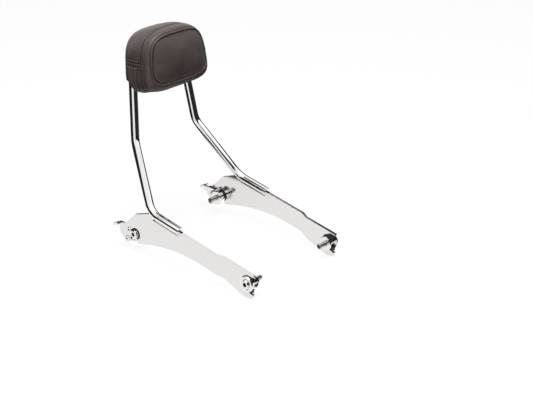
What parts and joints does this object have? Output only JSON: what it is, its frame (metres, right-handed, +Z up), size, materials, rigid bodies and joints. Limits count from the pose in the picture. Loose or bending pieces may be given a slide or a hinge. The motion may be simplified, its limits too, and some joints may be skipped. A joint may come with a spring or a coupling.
{
  "type": "motorcycle sissy bar",
  "caption": "Quick-release passenger sissy bar: bent chrome hoop on two notched side plates with spring latches, docking spools and a padded leather backrest.",
  "frame": {"origin": "middle of the rear docking axis, on the plane of symmetry", "axes": "+X to the front of the motorcycle, +Y to its left side along the docking axis, +Z up"},
  "size_m": [0.3737, 0.258, 0.4163],
  "materials": {
    "chrome_tube": "bright chrome plate on bent steel tube",
    "chrome_plate": "bright chrome plate on flat steel plate",
    "chrome_hardware": "bright chrome plate on turned or pressed steel",
    "chrome_screw": "bright chrome plate",
    "zinc_steel": "zinc plate, dull",
    "spring_steel": "drawn spring wire",
    "black_liner": "moulded, satin black",
    "black_steel": "satin black powder coat",
    "black_plastic": "fine moulded grain",
    "foam": "cut polyurethane foam",
    "leather": "dark brown-black, soft grain, low sheen"
  },
  "bodies": {
    "rack": {"hoop_tube": "chrome_tube", "tube_plug_left": "chrome_tube", "tube_plug_right": "chrome_tube", "side_plate_left": "chrome_plate", "side_plate_right": "chrome_plate", "dock_liner_rear_left": "black_liner", "dock_liner_rear_right": "black_liner", "dock_liner_front_left": "black_liner", "dock_liner_front_right": "black_liner", "dock_spool_rear_left": "chrome_hardware", "dock_spool_rear_right": "chrome_hardware", "dock_spool_front_left": "chrome_hardware", "dock_spool_front_right": "chrome_hardware", "dock_bolt_rear_left": "chrome_screw", "dock_bolt_rear_right": "chrome_screw", "dock_bolt_front_left": "chrome_screw", "dock_bolt_front_right": "chrome_screw", "cup_washer_left": "chrome_hardware", "cup_washer_right": "chrome_hardware", "latch_pivot_screw_left": "chrome_screw", "latch_pivot_screw_right": "chrome_screw", "latch_stop_screw_left": "chrome_screw", "latch_stop_screw_right": "chrome_screw", "latch_nuts_left": "zinc_steel", "latch_nuts_right": "zinc_steel", "latch_spring_left": "spring_steel", "latch_spring_right": "spring_steel", "pad_bracket": "black_steel", "pad_pan": "black_plastic", "pad_foam": "foam", "pad_cover": "leather", "back_cover": "black_plastic", "pad_tee_nuts": "zinc_steel", "pad_washers": "zinc_steel", "pad_screws": "zinc_steel", "back_cover_screws": "black_steel"},
    "latch_left": {"latch_lever_left": "chrome_hardware"},
    "latch_right": {"latch_lever_right": "chrome_hardware"}
  },
  "joints": [
    {"name": "latch_left_turn", "type": "hinge", "parent": "rack", "child": "latch_left", "pos_m": [-0.0147, 0.1157, 0.0048], "axis": [0, 1, 0], "range_deg": [0, 30], "stiffness_Nm_per_rad": 0.12, "springref_deg": -34.38, "deforming": ["latch_spring_left"]},
    {"name": "latch_right_turn", "type": "hinge", "parent": "rack", "child": "latch_right", "pos_m": [-0.0147, -0.1157, 0.0048], "axis": [0, 1, 0], "range_deg": [0, 30], "stiffness_Nm_per_rad": 0.12, "springref_deg": -34.38, "deforming": ["latch_spring_right"]}
  ]
}
